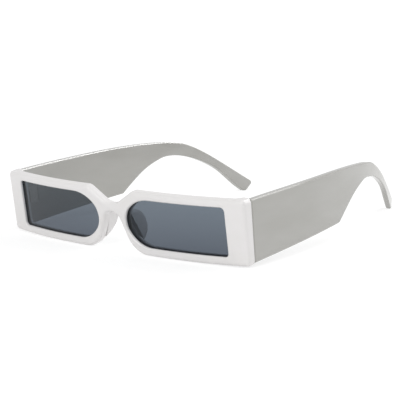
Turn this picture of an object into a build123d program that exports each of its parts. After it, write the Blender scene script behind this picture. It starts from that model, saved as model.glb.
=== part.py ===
from build123d import *
import os
from math import asin, atan2, copysign, cos, degrees, hypot, radians, sin, sqrt, tan

os.makedirs("parts", exist_ok=True)

# Narrow rectangle sunglasses. A curved moulded front holds two tinted lenses, and two wide flat
# temples fold on small barrel hinges. Lengths are in millimetres. They stand on a surface with the
# temples open, resting on the lower rim and on the two ear tips. Zero is on that surface, in the
# middle. +X is the wearer's left, -Y is where the front faces and +Z is up.

# Sizes of the front
# In its own frame zero is the middle of the top line on the face, and heights run down from there.
frame_width = 144.0
front_height = 28.7
flat_half = 19.5  # half of the flat middle of the face
wing_radius = 230.0  # plan curve of the face outside its flat middle
rim_thickness = 4.3
corner_radius = 2.2  # outer corners, seen from the front
front_round = 1.8
rear_bevel = 0.6
pantoscopic_tilt = 3.0  # degrees, the lower rim lies nearer the cheeks

# Bridge and nose arch
bridge_top_drop = 7.0
bridge_height = 4.0
saddle_radius = 8.6  # the hollow of the bridge's upper edge
brow_angle = 32.0  # degrees, slope from the bridge up to the top line
brow_radius = 4.0
arch_radius = 5.0  # over the nose
nose_angle = 66.0  # degrees, slope of the rims down each side of the nose
nose_corner_radius = 12.0

# Lens openings
end_width = 9.6  # opening to the outer end
opening_inner = 8.3  # from the middle to the opening's end at the nose
rim_above = 3.3
rim_below = 3.7
opening_corner_radius = 2.0
opening_bevel = 0.4
nose_end_share = 0.49  # of the opening's height, from its top to that end
nose_end_radius_share = 0.78  # of the height above or below that end
nose_end_top_stretch = 4.067  # how much longer than high the narrowing to that end is, above and below it
nose_end_bottom_stretch = 2.633

# Lenses, held in a groove round each opening
lens_thickness = 1.8
lens_recess = 1.3  # face of the rim to the face of the lens
groove_depth = 0.9
groove_clearance = 0.04

# Blocks at the ends of the front, which the temples butt against
block_width = 6.4
block_slope = 2.2
block_depth = 5.2  # outer end of the face back to the temples, along the temples
butt_bevel = 0.35

# Nose pads, moulded with the front
pad_start = -1.5  # along the side of the nose, from the end of the arch
pad_length = 14.5
pad_reach = 11.0  # behind the face
pad_peak = 5.0  # radius from its top to its deepest place
pad_thickness = 4.6
pad_sink = 0.7  # how far the pad starts inside the rim
pad_round = 1.9
pad_flare = 6.0  # degrees, rear edge outwards
pad_setback = 0.15  # from the side of the nose

# Sizes of the temples
# Their frame has zero at the same point as the front's, with Y along their top edges.
temple_thickness = 3.1
temple_drop = 0.15  # below the top of the front
temple_shortfall = 1.7  # of its front end, against the height of the front
butt_gap = 0.12
belly_length = 63.3  # along which the lower edge stays straight
belly_rise = 2.0
belly_round = 1.2
heel_length = 28.6  # from there to the neck, the narrowest place before the ear bend
neck_drop = 11.1
neck_height = 7.3
ear_length = 43.3  # from the neck to the middle of the tip's end
tip_drop = 34.9
tip_width = 6.2
tip_slope = 40.5  # degrees
tip_round = 1.5
bow_inset = 28.2  # how far the temples bend inwards in all
temple_bevel = 0.45
# Points of the edges, as shares of a run and of a rise or fall
top_edge_shares = ((0.32, 0.02), (0.53, 0.052), (0.67, 0.105), (0.74, 0.16), (0.806, 0.285), (0.91, 0.587))
heel_angle = 37.0  # degrees, where the lower edge starts to rise
heel_shares = ((0.20, 0.29), (0.41, 0.575), (0.64, 0.81), (0.85, 0.955))  # belly corner to neck
ear_shares = ((0.25, 0.07), (0.46, 0.22), (0.67, 0.45))  # neck to tip
bow_shares = ((0.258, 0.031), (0.497, 0.146), (0.708, 0.373), (0.956, 0.888))  # seen from above

# Sizes of the hinges
hinge_rise = 1.15  # middle of the barrel above the middle of the front
knuckle_radius = 1.4
knuckle_height = 1.8
knuckle_gap = 0.06
hinge_clearance = 0.35  # barrel to the faces that pass it
web_thickness = 1.7
front_leaf_width = 2.8
front_leaf_depth = 1.7
temple_leaf_inset = 1.08  # from the temple's front end
temple_leaf_length = 8.0
temple_leaf_thickness = 0.9
leaf_margin = 1.1  # of both leaves above and below the barrel
leaf_setback = 0.05  # below the faces round them
leaf_seat_gap = 0.03
screw_radius = 0.7
screw_fit = 0.02  # radial, in the knuckles of the front
screw_running_fit = 0.05  # radial, in the knuckle of the temple
screw_head_radius = 1.15
screw_head_height = 0.6
screw_slot_width = 0.3
screw_slot_depth = 0.25
screw_end = 0.2  # below the barrel
anchor_width = 1.0
anchor_length = 1.5
anchor_spacing = 4.4

overrun = 5.0  # how far cutting shapes pass the material

layer_margin = 0.01  # within which an edge counts as lying on a layer
quarter_turn = 90.0  # degrees
upright_share = 0.9  # of an edge's direction that is upwards, where the edge counts as upright


def face_depth(x, setback=0.0):
    """Depth of a layer of the front, behind the middle of the face, at a distance from the middle."""
    radius = wing_radius - setback
    return wing_radius - sqrt(radius**2 - max(abs(x) - flat_half, 0) ** 2)


# Sizes that follow
half_width = frame_width / 2
block_inner = half_width - block_width
bridge_bottom_drop = bridge_top_drop + bridge_height
brow_rise = radians(brow_angle)
saddle_rise = saddle_radius * (1 - cos(brow_rise))
brow_half = saddle_radius * sin(brow_rise) + (bridge_top_drop - saddle_rise) / tan(brow_rise)
nose_fall = radians(nose_angle)
nose_bend = (arch_radius + nose_corner_radius) * (1 - cos(nose_fall))
nose_line = (front_height - bridge_bottom_drop - nose_bend) / sin(nose_fall)
nose_foot = (arch_radius + nose_corner_radius) * sin(nose_fall) + nose_line * cos(nose_fall)
opening_outer = half_width - end_width
opening_height = front_height - rim_above - rim_below
nose_end_drop = nose_end_share * opening_height
butt_depth = face_depth(half_width) + block_depth
temple_height = front_height - temple_shortfall
neck_length = belly_length + heel_length
tip_length = neck_length + ear_length
inner_face = half_width - temple_thickness
hinge_drop = front_height / 2 - hinge_rise
hinge_x = inner_face - knuckle_radius - hinge_clearance
hinge_y = butt_depth + knuckle_radius + hinge_clearance
pad_root = rim_thickness - pad_sink
barrel_height = 3 * knuckle_height + 2 * knuckle_gap
temple_start = butt_depth + butt_gap
temple_leaf_start = temple_start + temple_leaf_inset
through = 2 * butt_depth

# The lean of the temples on the surface: a line that touches the rounded lower rim and the rounded
# low corner of the ear tips.
tilt = radians(pantoscopic_tilt)
rim_y = face_depth(nose_foot) + front_round
rim_z = front_round - front_height
foot_y = rim_y * cos(tilt) - rim_z * sin(tilt)
foot_z = rim_y * sin(tilt) + rim_z * cos(tilt)
slope = radians(tip_slope)
heel_reach = tip_width / 2 - tip_round
toe_y = temple_start + tip_length - heel_reach * sin(slope) - tip_round * cos(slope)
toe_z = -temple_drop - tip_drop - heel_reach * cos(slope) + tip_round * sin(slope)
span = hypot(toe_y - foot_y, foot_z - toe_z)
lean = atan2(foot_z - toe_z, toe_y - foot_y) - asin((front_round - tip_round) / span)
rest_height = front_round - foot_y * sin(lean) - foot_z * cos(lean)
heel_y = temple_start + tip_length + heel_reach * sin(slope) - tip_round * cos(slope)
heel_z = -temple_drop - tip_drop + heel_reach * cos(slope) + tip_round * sin(slope)
rest_back = heel_y * cos(lean) - heel_z * sin(lean) + tip_round
rest_front = front_round * (cos(tilt + lean) + sin(tilt + lean)) - front_round

temple_place = Location((0, -(rest_front + rest_back) / 2, rest_height), (degrees(lean), 0, 0))
front_place = temple_place * Location((0, 0, 0), (pantoscopic_tilt, 0, 0))


def in_front(plane):
    """The same plane in the frame of the front."""
    return Plane(front_place * plane.location)


def in_temples(plane):
    """The same plane in the frame of the temples."""
    return Plane(temple_place * plane.location)


# Outlines
def front_outline():
    """The front seen from ahead, without its lens openings."""
    with BuildSketch(mode=Mode.PRIVATE) as outline:
        with BuildLine():
            saddle = JernArc((0, -bridge_top_drop), (1, 0), saddle_radius, brow_angle)
            brow_foot = (brow_half, 0)
            low_corner = (half_width, -front_height)
            Polyline(saddle @ 1, brow_foot, (half_width, 0), low_corner, (nose_foot, -front_height))
            arch = JernArc((0, -bridge_bottom_drop), (1, 0), arch_radius, -nose_angle)
            side = PolarLine(arch @ 1, nose_line, direction=arch % 1)
            JernArc(side @ 1, side % 1, nose_corner_radius, nose_angle)
            Line((0, -bridge_top_drop), (0, -bridge_bottom_drop))
        make_face()
        fillet(outline.vertices().group_by(Axis.X)[-1], radius=corner_radius)
        fillet(outline.vertices().sort_by_distance(brow_foot)[0], radius=brow_radius)
        mirror(about=Plane.YZ)
    return outline.sketch


def narrowing(center, run, rise, end_radius):
    """Two arcs from an end that faces sideways to a level top or bottom. Gives their last point."""
    wide_radius = (run**2 + rise**2 - 2 * abs(run) * end_radius) / (2 * (abs(rise) - end_radius))
    end_center = Vector(center[0] + run - copysign(end_radius, run), center[1])
    wide_center = Vector(center[0], center[1] + rise - copysign(wide_radius, rise))
    join = end_center + (end_center - wide_center).normalized() * end_radius
    end_arc = TangentArc((center[0] + run, center[1]), join, tangent=(0, rise))
    TangentArc(join, (center[0], center[1] + rise), tangent=end_arc % 1)
    return (center[0], center[1] + rise)


def opening_outline(grown=0.0):
    """One lens opening seen from ahead, on the wearer's left, grown by an even margin."""
    end_z = -rim_above - nose_end_drop
    with BuildSketch(mode=Mode.PRIVATE) as outline:
        with BuildLine():
            level_ends = []
            nose_end_rises = (nose_end_drop, nose_end_drop - opening_height)
            for stretch, rise in zip((nose_end_top_stretch, nose_end_bottom_stretch), nose_end_rises):
                run = abs(rise) + stretch
                center = (opening_inner + run, end_z)
                end_radius = nose_end_radius_share * abs(rise) + grown
                level_ends.append(narrowing(center, -run - grown, rise + copysign(grown, rise), end_radius))
            top, bottom = level_ends
            Polyline(top, (opening_outer + grown, top[1]), (opening_outer + grown, bottom[1]), bottom)
        make_face()
        fillet(outline.vertices().group_by(Axis.X)[-1], radius=opening_corner_radius + grown)
    return outline.sketch


def face_line(setback, half_length):
    """Plan line of a layer of the front, flat in its middle. Gives its two ends."""
    radius = wing_radius - setback
    reach = degrees(asin((half_length - flat_half) / radius))
    left = CenterArc((flat_half, wing_radius), radius, -quarter_turn, reach)
    right = CenterArc((-flat_half, wing_radius), radius, -quarter_turn, -reach)
    Line(right @ 0, left @ 0)
    return right @ 1, left @ 1


def lies_on_layer(setback):
    """A test for edges on a layer of the front, which leaves out the ends of its flat middle."""

    def test(edge):
        spot = in_front(Plane.XY).to_local_coords(edge.center())
        on_layer = abs(spot.Y - face_depth(spot.X, setback)) < layer_margin
        return on_layer and abs(abs(spot.X) - flat_half) > layer_margin

    return test


def curved_band(setback, thickness, half_length):
    """Plan section of a layer of the front."""
    with BuildSketch(mode=Mode.PRIVATE) as band:
        with BuildLine():
            near_right, near_left = face_line(setback, half_length)
            far_right, far_left = face_line(setback + thickness, half_length)
            Line(near_right, far_right)
            Line(near_left, far_left)
        make_face()
    return band.sketch


def lens_blank(margin, clearance=0.0):
    """A curved plate that passes the opening's edge by a margin, on the wearer's left."""
    with BuildPart(mode=Mode.PRIVATE) as blank:
        with BuildSketch(in_front(Plane.XY.offset(-front_height))):
            add(curved_band(lens_recess - clearance, lens_thickness + 2 * clearance, half_width))
        extrude(amount=front_height)
        with BuildSketch(in_front(Plane.XZ.offset(overrun))):
            add(opening_outline(margin + clearance))
        extrude(amount=-through - overrun, mode=Mode.INTERSECT)
    return blank.part


def leaf_blank(x_span, y_span, clearance):
    """A block as high as a hinge leaf, between two distances from the middle and two depths."""
    middle = ((x_span[0] + x_span[1]) / 2, (y_span[0] + y_span[1]) / 2, -hinge_drop)
    with BuildPart(mode=Mode.PRIVATE) as blank:
        with BuildSketch(in_temples(Plane(middle))):
            Rectangle(x_span[1] - x_span[0] + 2 * clearance, y_span[1] - y_span[0] + 2 * clearance)
        extrude(amount=barrel_height / 2 + leaf_margin + clearance, both=True)
    return blank.part


def front_leaf(clearance=0.0, opened=0.0):
    """The leaf sunk in the rear of an end block, on the wearer's left. Opened makes it a cut."""
    x_span = (hinge_x - front_leaf_width / 2, hinge_x + front_leaf_width / 2)
    leaf_rear = butt_depth - leaf_setback
    return leaf_blank(x_span, (leaf_rear - front_leaf_depth, leaf_rear + opened), clearance)


def temple_leaf(clearance=0.0, opened=0.0):
    """The leaf sunk in the inner face of a temple, on the wearer's left. Opened makes it a cut."""
    leaf_face = inner_face + leaf_setback
    y_span = (temple_leaf_start, temple_leaf_start + temple_leaf_length)
    return leaf_blank((leaf_face - opened, leaf_face + temple_leaf_thickness), y_span, clearance)


def anchor_pins(plane, clearance):
    """Two short square pins one above the other, which hold a leaf in the plastic."""
    with BuildPart(mode=Mode.PRIVATE) as pins:
        with BuildSketch(in_temples(plane)):
            with GridLocations(0, anchor_spacing, 1, 2):
                Rectangle(anchor_width + 2 * clearance, anchor_width + 2 * clearance)
        extrude(amount=anchor_length + clearance)
    return pins.part


def front_pins(clearance=0.0):
    """The pins of the leaf in an end block."""
    seat_y = butt_depth - leaf_setback - front_leaf_depth
    return anchor_pins(Plane((hinge_x, seat_y, -hinge_drop), x_dir=(1, 0, 0), z_dir=(0, -1, 0)), clearance)


def temple_pins(clearance=0.0):
    """The pins of the leaf in a temple."""
    seat_x = inner_face + leaf_setback + temple_leaf_thickness
    seat_y = temple_leaf_start + temple_leaf_length - leaf_margin - anchor_width / 2
    return anchor_pins(Plane((seat_x, seat_y, -hinge_drop), x_dir=(0, 1, 0), z_dir=(1, 0, 0)), clearance)


def knuckle(lift, web, bore):
    """One knuckle of a barrel with its web, centred at a height above the middle of the barrel."""
    with BuildPart(mode=Mode.PRIVATE) as ring:
        with BuildSketch(in_temples(Plane((hinge_x, hinge_y, lift - hinge_drop)))):
            Circle(knuckle_radius)
            with BuildLine():
                Polyline(*web, close=True)
            make_face()
            Circle(bore, mode=Mode.SUBTRACT)
        extrude(amount=knuckle_height / 2, both=True)
    return ring.part


# Front frame
with BuildPart() as nose_pad:
    arch_end = (arch_radius * sin(nose_fall), -bridge_bottom_drop - arch_radius * (1 - cos(nose_fall)))
    down = Vector(cos(nose_fall), 0, -sin(nose_fall))
    outward = Vector(sin(nose_fall), 0, cos(nose_fall))
    pad_middle = pad_setback + pad_thickness / 2
    pad_origin = Vector(arch_end[0], 0, arch_end[1]) + down * pad_start + outward * pad_middle
    with BuildSketch(in_front(Plane(pad_origin, x_dir=down, z_dir=outward).rotated((pad_flare, 0, 0)))):
        with BuildLine():
            top_side = Line((0, pad_root), (0, pad_reach - pad_peak))
            crown = JernArc(top_side @ 1, top_side % 1, pad_peak, -quarter_turn)
            TangentArc(crown @ 1, (pad_length, pad_root), tangent=crown % 1)
            Line((pad_length, pad_root), (0, pad_root))
        make_face()
    extrude(amount=pad_thickness / 2, both=True)
    fillet(nose_pad.edges().filter_by(GeomType.CIRCLE), radius=pad_round)

with BuildPart() as front_frame:
    with BuildSketch(in_front(Plane.XY.offset(-front_height - overrun))):
        with BuildLine():
            face_ends = face_line(0, half_width + overrun)
            rear_ends = face_line(rim_thickness, block_inner)
            for face_end, rear_end, side in zip(face_ends, rear_ends, (-1, 1)):
                Polyline(
                    rear_end,
                    (side * (block_inner + block_slope), butt_depth),
                    (side * (block_inner + block_slope), butt_depth + overrun),
                    (face_end.X, butt_depth + overrun),
                    face_end,
                )
        make_face()
    extrude(amount=front_height + 2 * overrun)
    with BuildSketch(in_front(Plane.XZ.offset(overrun))):
        add(front_outline())
    extrude(amount=-through - overrun, mode=Mode.INTERSECT)
    split(bisect_by=in_temples(Plane.XZ.offset(-butt_depth)), keep=Keep.TOP)
    fillet(front_frame.edges().filter_by(lies_on_layer(0)), radius=front_round)
    slope_reach = block_slope / 4
    slope_middle = block_inner + 2 * slope_reach
    slope_faces = front_frame.faces().filter_by(
        lambda face: abs(abs(face.center().X) - slope_middle) < slope_reach
    )
    rear_edges = front_frame.edges().filter_by(lies_on_layer(rim_thickness)) + slope_faces.edges()
    chamfer(rear_edges.filter_by(lambda edge: abs(edge.tangent_at().Z) < upright_share), length=rear_bevel)
    butt_faces = front_frame.faces().filter_by(in_temples(Plane.XZ))
    chamfer(butt_faces.edges(), length=butt_bevel)
    # Lens openings
    with BuildSketch(in_front(Plane.XZ.offset(overrun))) as openings:
        add(opening_outline())
        mirror(about=Plane.YZ)
    extrude(amount=-through - overrun, mode=Mode.SUBTRACT)
    chamfer(front_frame.edges(Select.LAST).filter_by(lies_on_layer(0)), length=opening_bevel)
    groove = lens_blank(groove_depth, groove_clearance)
    add(groove, mode=Mode.SUBTRACT)
    mirror(groove, about=Plane.YZ, mode=Mode.SUBTRACT)
    add(nose_pad.part)
    mirror(nose_pad.part, about=Plane.YZ)
    for seat in (front_leaf(leaf_seat_gap, overrun), front_pins(leaf_seat_gap)):
        add(seat, mode=Mode.SUBTRACT)
        mirror(seat, about=Plane.YZ, mode=Mode.SUBTRACT)

# Lenses
with BuildPart() as lens_left:
    add(lens_blank(groove_depth))

with BuildPart() as lens_right:
    mirror(lens_left.part, about=Plane.YZ)

# Temples
# Points of the outline are given from the top corner of the front end.
belly_corner = (belly_length, belly_rise - temple_height)
neck = (neck_length, -neck_drop)
tip_run = Vector(cos(slope), -sin(slope))
tip_rise = Vector(sin(slope), cos(slope))
tip_middle = Vector(tip_length, -tip_drop)
tip_top = tip_middle + tip_rise * (tip_width / 2)
tip_bottom = tip_middle - tip_rise * (tip_width / 2)


def points_between(start, end, shares):
    """Points at shares of the run and of the rise from one point to another."""
    run, rise = end[0] - start[0], end[1] - start[1]
    return [(start[0] + along * run, start[1] + up * rise) for along, up in shares]


with BuildPart() as temple_left:
    side_plane = Plane((0, temple_start, -temple_drop), x_dir=(0, 1, 0), z_dir=(1, 0, 0))
    with BuildSketch(in_temples(side_plane)) as side_view:
        with BuildLine():
            foot = (tip_bottom.X, tip_bottom.Y)
            top = Spline(
                (0, 0),
                *points_between((0, 0), (tip_length, -tip_drop), top_edge_shares),
                tip_top,
                tangents=((1, 0), tip_run),
            )
            heel_run = Vector(cos(radians(heel_angle)), sin(radians(heel_angle)))
            heel_points = points_between(belly_corner, neck, heel_shares)
            Spline(belly_corner, *heel_points, neck, tangents=(heel_run, (1, 0)))
            Spline(neck, *points_between(neck, foot, ear_shares), foot, tangents=((1, 0), tip_run))
            Line(tip_top, foot)
            Polyline((0, 0), (0, -temple_height), belly_corner)
        make_face()
        fillet(side_view.vertices().sort_by_distance(belly_corner)[0], radius=belly_round)
        fillet(side_view.vertices().sort_by_distance(tip_middle)[:2], radius=tip_round)
    extrude(amount=half_width)
    with BuildSketch(in_temples(Plane((0, 0, -temple_drop - tip_drop - tip_width)))):
        with BuildLine():
            sides = []
            for side_x in (half_width, inner_face):
                start = (side_x, temple_start)
                end = (side_x - bow_inset, temple_start + tip_length + tip_width)
                bow_points = points_between(start, end, [(across, along) for along, across in bow_shares])
                sides.append(Spline(start, *bow_points, end))
            for place in (0, 1):
                Line(sides[0] @ place, sides[1] @ place)
        make_face()
    extrude(amount=temple_drop + tip_drop + tip_width + overrun, mode=Mode.INTERSECT)
    flanks = temple_left.faces().sort_by(SortBy.AREA)[-2:]
    chamfer(flanks.edges(), length=temple_bevel)
    add(temple_leaf(leaf_seat_gap, overrun), mode=Mode.SUBTRACT)
    add(temple_pins(leaf_seat_gap), mode=Mode.SUBTRACT)

with BuildPart() as temple_right:
    mirror(temple_left.part, about=Plane.YZ)

# Hinges
knuckle_pitch = knuckle_height + knuckle_gap
web_half = web_thickness / 2
front_web = [(-web_half, 0), (web_half, 0), (web_half, -knuckle_radius - hinge_clearance - leaf_setback)]
front_web += [(-web_half, -knuckle_radius - hinge_clearance - leaf_setback)]
temple_web = [(0, 0), (knuckle_radius + hinge_clearance + leaf_setback, 0)]
temple_web += [(knuckle_radius + hinge_clearance + leaf_setback, knuckle_radius), (0, knuckle_radius)]

with BuildPart() as front_hinge_left:
    add(front_leaf())
    add(front_pins())
    for lift in (-knuckle_pitch, knuckle_pitch):
        add(knuckle(lift, front_web, screw_radius + screw_fit))

with BuildPart() as temple_hinge_left:
    add(temple_leaf())
    add(temple_pins())
    add(knuckle(0, temple_web, screw_radius + screw_running_fit))

with BuildPart() as hinge_screw_left:
    with BuildSketch(in_temples(Plane((hinge_x, hinge_y, -hinge_drop - barrel_height / 2 - screw_end)))):
        Circle(screw_radius)
    extrude(amount=barrel_height + screw_end)
    with BuildSketch(in_temples(Plane((hinge_x, hinge_y, -hinge_drop + barrel_height / 2)))):
        Circle(screw_head_radius)
    extrude(amount=screw_head_height)
    head_top = hinge_screw_left.faces().sort_by(Axis.Z)[-1]
    chamfer(head_top.edges(), length=screw_slot_width / 2)
    with BuildSketch(head_top):
        Rectangle(screw_slot_width, 2 * screw_head_radius)
    extrude(amount=-screw_slot_depth, mode=Mode.SUBTRACT)

with BuildPart() as front_hinge_right:
    mirror(front_hinge_left.part, about=Plane.YZ)

with BuildPart() as temple_hinge_right:
    mirror(temple_hinge_left.part, about=Plane.YZ)

with BuildPart() as hinge_screw_right:
    mirror(hinge_screw_left.part, about=Plane.YZ)

# Files
pieces = {
    "front_frame": front_frame,
    "lens_left": lens_left,
    "lens_right": lens_right,
    "temple_left": temple_left,
    "temple_right": temple_right,
    "front_hinge_left": front_hinge_left,
    "front_hinge_right": front_hinge_right,
    "temple_hinge_left": temple_hinge_left,
    "temple_hinge_right": temple_hinge_right,
    "hinge_screw_left": hinge_screw_left,
    "hinge_screw_right": hinge_screw_right,
}
for label, piece in pieces.items():
    piece.part.label = label
    export_step(piece.part, f"parts/{label}.step")
    print(label, piece.part.bounding_box(), len(piece.part.solids()), round(piece.part.volume, 2))
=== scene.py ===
import math
import bpy
from mathutils import Matrix, Vector

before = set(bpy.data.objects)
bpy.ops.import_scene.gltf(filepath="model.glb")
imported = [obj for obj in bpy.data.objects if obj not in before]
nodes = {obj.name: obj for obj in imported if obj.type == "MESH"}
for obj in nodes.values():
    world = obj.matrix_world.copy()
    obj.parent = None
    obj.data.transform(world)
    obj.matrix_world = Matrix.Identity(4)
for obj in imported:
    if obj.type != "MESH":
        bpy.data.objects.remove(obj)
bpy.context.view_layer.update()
mm = 0.001
print("frame loaded")


def linearColour(hexText):
    values = []
    for start in (1, 3, 5):
        value = int(hexText[start:start + 2], 16) / 255
        values.append(value / 12.92 if value <= 0.04045 else ((value + 0.055) / 1.055) ** 2.4)
    return (*values, 1.0)


white = linearColour("#FFFFFF")


def addNode(tree, kind, settings=None, links=None, **sockets):
    # settings are node properties, links go from another node's output to a socket by name or number,
    # and the rest are socket values
    node = tree.nodes.new(kind)
    for name, value in (settings or {}).items():
        setattr(node, name, value)
    for name, value in sockets.items():
        node.inputs[name.replace("_", " ")].default_value = value
    for name, source in (links or {}).items():
        tree.links.new(source, node.inputs[name])
    return node


def startMaterial(name):
    material = bpy.data.materials.new(name)
    material.use_nodes = True
    tree = material.node_tree
    tree.nodes.clear()
    return material, tree


def endMaterial(tree, surface):
    addNode(tree, "ShaderNodeOutputMaterial", links={"Surface": surface})


def setRamp(ramp, places, hexColours):
    # the ramp already has its two stops
    for element, place, hexColour in zip(ramp.color_ramp.elements, places, hexColours):
        element.position = place
        element.color = linearColour(hexColour)


# Frame plastic
frontPlastic = {
    "colour": "#F2F0F0",
    "shadeColour": "#F0EEED",  # streaks where the melt flowed
    "roughness": 0.24,
    "roughnessSpread": 0.05,
    "lacquer": 0.0,
    "flowSize": 9 * mm,
    "flowStretch": (0.3, 1, 1),  # the melt runs along the piece
    "grainSize": 0.9 * mm,  # faint orange peel of the mould's polish
    "edgeRadius": 0.35 * mm,  # tumbling softens every edge
}
templePlastic = {
    "colour": "#B7B6B2",
    "shadeColour": "#B0AFAA",
    "roughness": 0.14,
    "roughnessSpread": 0.05,
    "lacquer": 0.6,
    "flowSize": 10 * mm,
    "flowStretch": (1, 0.25, 1),
    "grainSize": 1.4 * mm,
    "edgeRadius": 0.25 * mm,
}
anyPlastic = {
    "ior": 1.52,  # a little under the 1.58 of bare polycarbonate
    "lacquerRoughness": 0.05,
    "streakRange": (0.35, 0.65),  # of the flow pattern, from shade to colour
    "glossRange": (0.3, 0.7),  # of the flow pattern, from glossier to duller
    "patternDetail": 2.0,
    "grainHeight": 0.002 * mm,
    "grainStrength": 0.6,
    "edgeSamples": 6,
}


def makeFramePlastic(name, values, shared):
    # injection moulded polycarbonate, tumbled: soft wide highlights, and its colour goes all through
    material, tree = startMaterial(name)
    place = addNode(tree, "ShaderNodeTexCoord")
    along = addNode(
        tree,
        "ShaderNodeMapping",
        links={"Vector": place.outputs["Object"]},
        Scale=values["flowStretch"],
    )
    flow = addNode(
        tree,
        "ShaderNodeTexNoise",
        links={"Vector": along.outputs["Vector"]},
        Scale=1 / values["flowSize"],
        Detail=shared["patternDetail"],
    )
    colour = addNode(tree, "ShaderNodeValToRGB", links={"Fac": flow.outputs["Fac"]})
    setRamp(colour, shared["streakRange"], (values["shadeColour"], values["colour"]))
    grain = addNode(
        tree,
        "ShaderNodeTexNoise",
        links={"Vector": place.outputs["Object"]},
        Scale=1 / values["grainSize"],
        Detail=shared["patternDetail"],
    )
    rough = addNode(
        tree,
        "ShaderNodeMapRange",
        links={"Value": flow.outputs["Fac"]},
        From_Min=shared["glossRange"][0],
        From_Max=shared["glossRange"][1],
        To_Min=values["roughness"] - values["roughnessSpread"] / 2,
        To_Max=values["roughness"] + values["roughnessSpread"] / 2,
    )
    softEdge = addNode(
        tree, "ShaderNodeBevel", {"samples": shared["edgeSamples"]}, Radius=values["edgeRadius"]
    )
    bump = addNode(
        tree,
        "ShaderNodeBump",
        links={"Height": grain.outputs["Fac"], "Normal": softEdge.outputs["Normal"]},
        Strength=shared["grainStrength"],
        Distance=shared["grainHeight"],
    )
    shader = addNode(
        tree,
        "ShaderNodeBsdfPrincipled",
        links={
            "Base Color": colour.outputs["Color"],
            "Roughness": rough.outputs["Result"],
            "Normal": bump.outputs["Normal"],
        },
        IOR=shared["ior"],
        Coat_Weight=values["lacquer"],
        Coat_Roughness=shared["lacquerRoughness"],
    )
    endMaterial(tree, shader.outputs["BSDF"])
    return material


# Lens tint
lensTint = {
    "lowTint": "#999FA7",  # once through each face
    "highTint": "#A7AEB5",
    "lowHeight": 4 * mm,  # the tint darkens evenly from the upper edge to the lower
    "highHeight": 26 * mm,
    "roughness": 0.03,
    "smear": 0.04,  # how much duller the gloss is where the lens was wiped
    "smearSize": 7 * mm,
    "smearRange": (0.4, 0.7),  # of the smear pattern, from clean to smeared
    "smearDetail": 4.0,
    "glossIor": 1.3,  # an anti-reflection coat leaves little gloss
}


def makeLensTint(name, values):
    # dyed nylon lens: clear to look through, grey, with a polished front
    material, tree = startMaterial(name)
    place = addNode(tree, "ShaderNodeTexCoord")
    height = addNode(tree, "ShaderNodeSeparateXYZ", links={"Vector": place.outputs["Object"]})
    share = addNode(
        tree,
        "ShaderNodeMapRange",
        links={"Value": height.outputs["Z"]},
        From_Min=values["lowHeight"],
        From_Max=values["highHeight"],
    )
    dye = addNode(tree, "ShaderNodeValToRGB", links={"Fac": share.outputs["Result"]})
    setRamp(dye, (0, 1), (values["lowTint"], values["highTint"]))
    see = addNode(tree, "ShaderNodeBsdfTransparent", links={"Color": dye.outputs["Color"]})
    smear = addNode(
        tree,
        "ShaderNodeTexNoise",
        links={"Vector": place.outputs["Object"]},
        Scale=1 / values["smearSize"],
        Detail=values["smearDetail"],
    )
    rough = addNode(
        tree,
        "ShaderNodeMapRange",
        links={"Value": smear.outputs["Fac"]},
        From_Min=values["smearRange"][0],
        From_Max=values["smearRange"][1],
        To_Min=values["roughness"],
        To_Max=values["roughness"] + values["smear"],
    )
    gloss = addNode(tree, "ShaderNodeBsdfGlossy", links={"Roughness": rough.outputs["Result"]}, Color=white)
    angle = addNode(tree, "ShaderNodeFresnel", IOR=values["glossIor"])
    faces = addNode(tree, "ShaderNodeNewGeometry")
    outside = addNode(
        tree, "ShaderNodeMath", {"operation": "SUBTRACT"}, links={1: faces.outputs["Backfacing"]}
    )
    outside.inputs[0].default_value = 1.0  # no gloss on the inner side of a face
    shine = addNode(
        tree,
        "ShaderNodeMath",
        {"operation": "MULTIPLY"},
        links={0: angle.outputs["Fac"], 1: outside.outputs[0]},
    )
    mix = addNode(
        tree,
        "ShaderNodeMixShader",
        links={0: shine.outputs[0], 1: see.outputs["BSDF"], 2: gloss.outputs["BSDF"]},
    )
    endMaterial(tree, mix.outputs["Shader"])
    return material


# Hinge metal
hingeMetal = {
    "colour": "#AEACA7",
    "roughnessRange": (0.2, 0.38),
    "scratchSize": 0.12 * mm,
    "scratchStretch": (1, 1, 0.08),
    "scratchDetail": 2.0,
    "scratchDepth": 0.004 * mm,
    "scratchStrength": 0.4,
}


def makeHingeMetal(name, values):
    # nickel silver, cut from drawn wire: fine scratches along the barrel
    material, tree = startMaterial(name)
    place = addNode(tree, "ShaderNodeTexCoord")
    along = addNode(
        tree,
        "ShaderNodeMapping",
        links={"Vector": place.outputs["Object"]},
        Scale=values["scratchStretch"],
    )
    scratch = addNode(
        tree,
        "ShaderNodeTexNoise",
        links={"Vector": along.outputs["Vector"]},
        Scale=1 / values["scratchSize"],
        Detail=values["scratchDetail"],
    )
    rough = addNode(
        tree,
        "ShaderNodeMapRange",
        links={"Value": scratch.outputs["Fac"]},
        To_Min=values["roughnessRange"][0],
        To_Max=values["roughnessRange"][1],
    )
    bump = addNode(
        tree,
        "ShaderNodeBump",
        links={"Height": scratch.outputs["Fac"]},
        Strength=values["scratchStrength"],
        Distance=values["scratchDepth"],
    )
    shader = addNode(
        tree,
        "ShaderNodeBsdfPrincipled",
        links={"Roughness": rough.outputs["Result"], "Normal": bump.outputs["Normal"]},
        Base_Color=linearColour(values["colour"]),
        Metallic=1.0,
    )
    endMaterial(tree, shader.outputs["BSDF"])
    return material


materials = {
    "front": makeFramePlastic("moulded white polycarbonate", frontPlastic, anyPlastic),
    "temple": makeFramePlastic("moulded pearl grey polycarbonate", templePlastic, anyPlastic),
    "lens": makeLensTint("grey dyed nylon lens", lensTint),
    "hinge": makeHingeMetal("nickel silver hinge", hingeMetal),
}


def dress(node, material):
    mesh = nodes[node].data
    mesh.materials.clear()
    mesh.materials.append(material)


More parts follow.
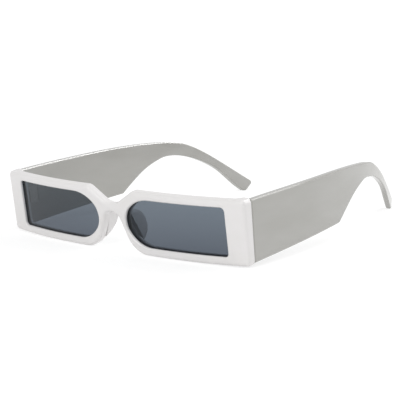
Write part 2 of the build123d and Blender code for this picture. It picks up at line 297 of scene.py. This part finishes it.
dress("front_frame", materials["front"])
for side in ("left", "right"):
    dress("lens_" + side, materials["lens"])
    dress("temple_" + side, materials["temple"])
    for piece in ("front_hinge_", "temple_hinge_", "hinge_screw_"):
        dress(piece + side, materials["hinge"])
print("materials made")


# Floor and lamps
studio = {
    "floorSize": 8.0,  # metres
    "floorColour": "#F4F4F4",  # as it lights the glasses
    "seenColour": "#A8A8A8",  # as it is seen: most of its white is glow, so that the shadow is faint
    "seenGlow": 0.72,
    "whiteGlow": 1.0,
    "shadowReach": 0.3,  # metres from the middle, up to which the floor takes that shadow
    "whiteReach": 0.9,  # and from which it is plain white
    "worldStrength": 0.485,
    "worldGloss": 0.7,  # its strength in reflections
    "worldSeen": 1.0,
    "keyEnergy": 8.2,  # watts, in front
    "keySize": (1.2, 1.0),
    "keyPlace": (0.15, -1.1, 1.0),
    "fillEnergy": 5.3,  # behind the wearer's left side
    "fillSize": (0.9, 0.9),
    "fillPlace": (0.75, 0.95, 0.7),
    "edgeEnergy": 1.7,  # a panel behind, which draws the line of light along one temple's upper edge
    "edgeSize": (0.24, 0.34),
    "edgePlace": (0.16, 0.66, 0.88),
}


def makeFloor(values):
    half = values["floorSize"] / 2
    mesh = bpy.data.meshes.new("studioFloor")
    corners = [(-half, -half, 0), (half, -half, 0), (half, half, 0), (-half, half, 0)]
    mesh.from_pydata(corners, [], [(0, 1, 2, 3)])
    floor = bpy.data.objects.new("studioFloor", mesh)
    bpy.context.scene.collection.objects.link(floor)
    material, tree = startMaterial("white paper sweep")
    paper = addNode(tree, "ShaderNodeBsdfDiffuse", Color=linearColour(values["floorColour"]))
    seenPaper = addNode(tree, "ShaderNodeBsdfDiffuse", Color=linearColour(values["seenColour"]))
    place = addNode(tree, "ShaderNodeTexCoord")
    away = addNode(tree, "ShaderNodeVectorMath", {"operation": "LENGTH"}, links={0: place.outputs["Object"]})
    strength = addNode(
        tree,
        "ShaderNodeMapRange",
        links={"Value": away.outputs["Value"]},
        From_Min=values["shadowReach"],
        From_Max=values["whiteReach"],
        To_Min=values["seenGlow"],
        To_Max=values["whiteGlow"],
    )
    glow = addNode(tree, "ShaderNodeEmission", links={"Strength": strength.outputs["Result"]})
    rays = addNode(tree, "ShaderNodeLightPath")
    seen = addNode(
        tree,
        "ShaderNodeMath",
        {"operation": "MAXIMUM"},
        links={0: rays.outputs["Is Camera Ray"], 1: rays.outputs["Is Transmission Ray"]},
    )
    seen = addNode(
        tree,
        "ShaderNodeMath",
        {"operation": "MAXIMUM"},
        links={0: seen.outputs[0], 1: rays.outputs["Is Glossy Ray"]},
    )
    bright = addNode(tree, "ShaderNodeAddShader", links={0: seenPaper.outputs[0], 1: glow.outputs[0]})
    mix = addNode(
        tree, "ShaderNodeMixShader", links={0: seen.outputs[0], 1: paper.outputs[0], 2: bright.outputs[0]}
    )
    endMaterial(tree, mix.outputs[0])
    mesh.materials.append(material)


def addSoftbox(name, energy, size, place):
    light = bpy.data.lights.new(name, "AREA")
    light.energy = energy
    light.shape = "RECTANGLE"
    light.size, light.size_y = size
    lamp = bpy.data.objects.new(name, light)
    lamp.location = place
    lamp.rotation_mode = "QUATERNION"
    lamp.rotation_quaternion = Vector(place).to_track_quat("Z", "Y")  # it faces the middle
    bpy.context.scene.collection.objects.link(lamp)


def makeWorld(values):
    world = bpy.data.worlds.new("studioWorld")
    bpy.context.scene.world = world
    world.use_nodes = True
    tree = world.node_tree
    tree.nodes.clear()
    sky = addNode(tree, "ShaderNodeBackground", Color=white, Strength=values["worldStrength"])
    glossSky = addNode(tree, "ShaderNodeBackground", Color=white, Strength=values["worldGloss"])
    seenSky = addNode(tree, "ShaderNodeBackground", Color=white, Strength=values["worldSeen"])
    rays = addNode(tree, "ShaderNodeLightPath")
    mix = addNode(
        tree,
        "ShaderNodeMixShader",
        links={0: rays.outputs["Is Glossy Ray"], 1: sky.outputs[0], 2: glossSky.outputs[0]},
    )
    mix = addNode(
        tree,
        "ShaderNodeMixShader",
        links={0: rays.outputs["Is Camera Ray"], 1: mix.outputs[0], 2: seenSky.outputs[0]},
    )
    addNode(tree, "ShaderNodeOutputWorld", links={"Surface": mix.outputs[0]})


makeFloor(studio)
for lampName in ("key", "fill", "edge"):
    lampValues = [studio[lampName + part] for part in ("Energy", "Size", "Place")]
    addSoftbox(lampName + "Light", *lampValues)
makeWorld(studio)
print("studio made")

# Camera
cameraPlace = {
    "aim": (-7.496 * mm, -6.616 * mm, 11.378 * mm),
    "distance": 709.29 * mm,
    "azimuth": 41.902,  # degrees from the front towards the wearer's left
    "elevation": 10.716,
    "roll": -1.871,
    "lens": 134.508,  # mm, on the sensor
    "sensor": 36,
    "nearest": 50 * mm,
}


def addCamera(values):
    turn, lift = math.radians(values["azimuth"]), math.radians(values["elevation"])
    back = Vector((math.sin(turn) * math.cos(lift), -math.cos(turn) * math.cos(lift), math.sin(lift)))
    side = Vector((math.cos(turn), math.sin(turn), 0))
    axes = Matrix((side, back.cross(side), back)).transposed()
    roll = Matrix.Rotation(math.radians(values["roll"]), 3, "Z")
    data = bpy.data.cameras.new("photoCamera")
    data.lens = values["lens"]
    data.sensor_width = values["sensor"]
    data.clip_start = values["nearest"]
    camera = bpy.data.objects.new("photoCamera", data)
    camera.rotation_mode = "QUATERNION"
    camera.rotation_quaternion = (axes @ roll).to_quaternion()
    camera.location = Vector(values["aim"]) + back * values["distance"]
    bpy.context.scene.collection.objects.link(camera)
    bpy.context.scene.camera = camera


addCamera(cameraPlace)
bpy.context.scene.view_settings.view_transform = "Standard"
print("camera made")
